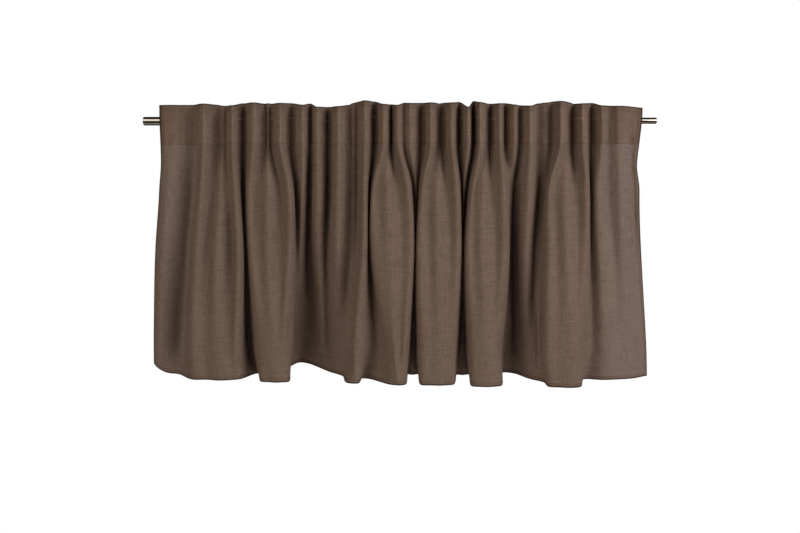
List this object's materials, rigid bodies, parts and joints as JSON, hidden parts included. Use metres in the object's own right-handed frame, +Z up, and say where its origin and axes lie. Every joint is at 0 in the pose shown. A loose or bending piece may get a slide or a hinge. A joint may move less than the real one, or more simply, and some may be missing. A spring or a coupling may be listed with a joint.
{
  "type": "gathered window valance hanging on a curtain rod",
  "caption": "Short gathered valance of plain brown linen-look cloth with a tape heading, hung in uneven soft folds on a plain telescopic curtain rod.",
  "frame": {"origin": "on the rod's axis at its mid-length", "axes": "+X along the rod to the right as seen from the room, +Y toward the window, +Z up"},
  "size_m": [1.126, 0.1802, 0.603],
  "materials": {
    "cloth": "matt brown linen-look plain weave with uneven threads, slightly sheer",
    "tape": "matt woven heading tape, undyed beige brown",
    "strap": "matt woven strap of the heading tape",
    "rod_outer": "satin steel tube with a warm tint",
    "rod_inner": "satin steel tube with a warm tint"
  },
  "bodies": {
    "root": {"valance_cloth": "cloth", "heading_tape": "tape", "rod_outer_tube": "rod_outer", "rod_inner_tube": "rod_inner", "rod_strap_01": "strap", "rod_strap_02": "strap", "rod_strap_03": "strap", "rod_strap_04": "strap", "rod_strap_05": "strap", "rod_strap_06": "strap", "rod_strap_07": "strap", "rod_strap_08": "strap", "rod_strap_09": "strap", "rod_strap_10": "strap", "rod_strap_11": "strap", "rod_strap_12": "strap", "rod_strap_13": "strap", "rod_strap_14": "strap", "rod_strap_15": "strap"}
  },
  "joints": []
}
